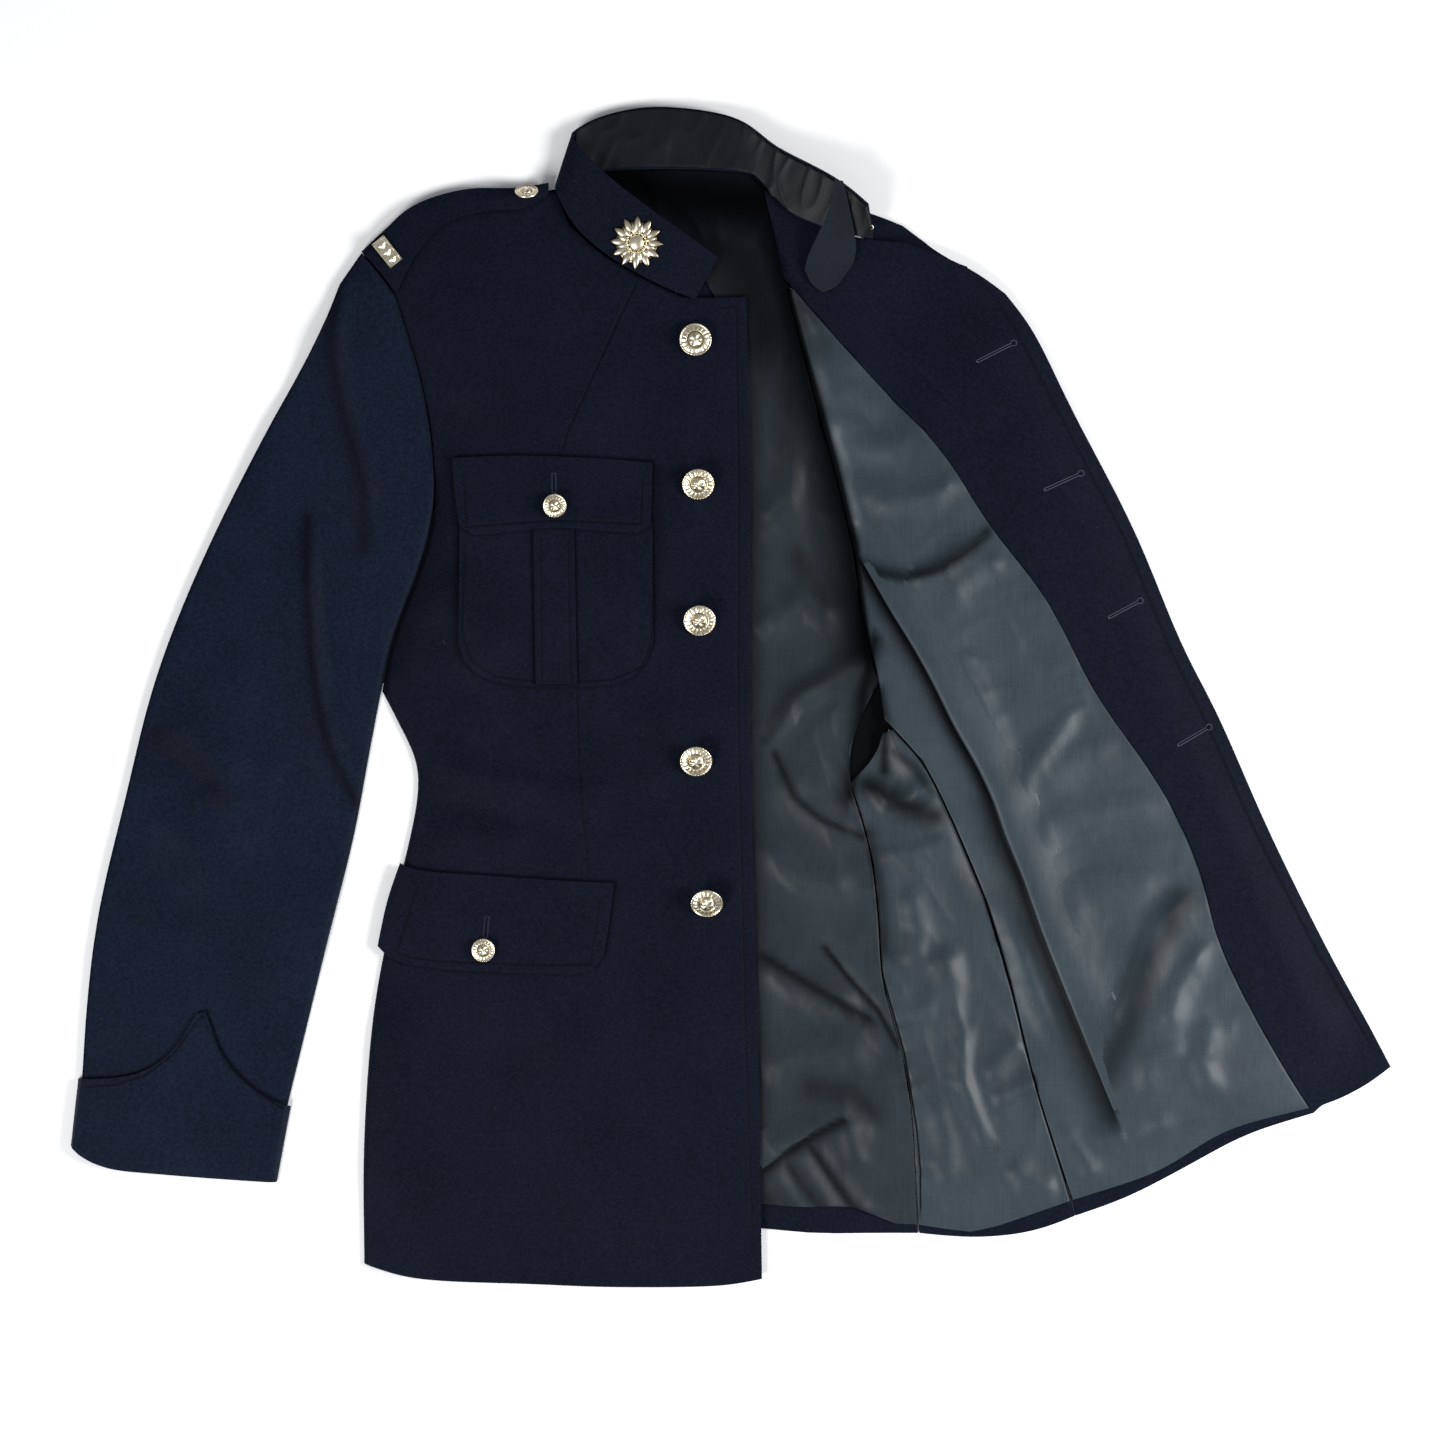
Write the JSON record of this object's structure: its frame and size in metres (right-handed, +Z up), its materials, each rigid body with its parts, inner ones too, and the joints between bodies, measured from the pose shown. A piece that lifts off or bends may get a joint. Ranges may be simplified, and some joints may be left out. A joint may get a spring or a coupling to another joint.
{
  "type": "dress jacket",
  "caption": "Stand-collar uniform dress jacket laid flat, one front closed with patch pocket and flaps, the other opened out to show its lining.",
  "frame": {"origin": "centre of the jacket's box on the surface it lies on", "axes": "+X across the jacket towards the wearer's left, +Y towards the collar, +Z up from the surface"},
  "size_m": [0.9229, 0.8251, 0.034],
  "materials": {
    "wool": "navy milled wool barathea, matt with a short nap",
    "satin": "grey-green satin lining, soft sheen",
    "felt": "dark felt, matt",
    "gilt": "pale gilt, polished relief"
  },
  "bodies": {
    "root": {"front_right": "wool", "back_right": "wool", "back_left": "wool", "side_left": "wool", "lining_side_left": "satin", "front_left": "wool", "facing_left": "wool", "lining_front_left": "satin", "lining_back": "satin", "sleeve_left_lining": "satin", "sleeve_right_top": "wool", "sleeve_right_under": "wool", "sleeve_left_top": "wool", "sleeve_left_under": "wool", "cuff_left": "wool", "cuff_right": "wool", "chest_pocket": "wool", "chest_pleat": "wool", "chest_flap": "wool", "hip_flap": "wool", "strap_right": "wool", "strap_left": "wool", "collar": "wool", "collar_lining": "satin", "collar_tab": "felt", "front_button_1": "gilt", "front_button_2": "gilt", "front_button_3": "gilt", "front_button_4": "gilt", "front_button_5": "gilt", "chest_button": "gilt", "hip_button": "gilt", "strap_button": "gilt", "collar_badge": "gilt", "shoulder_plaque": "gilt"}
  },
  "joints": []
}
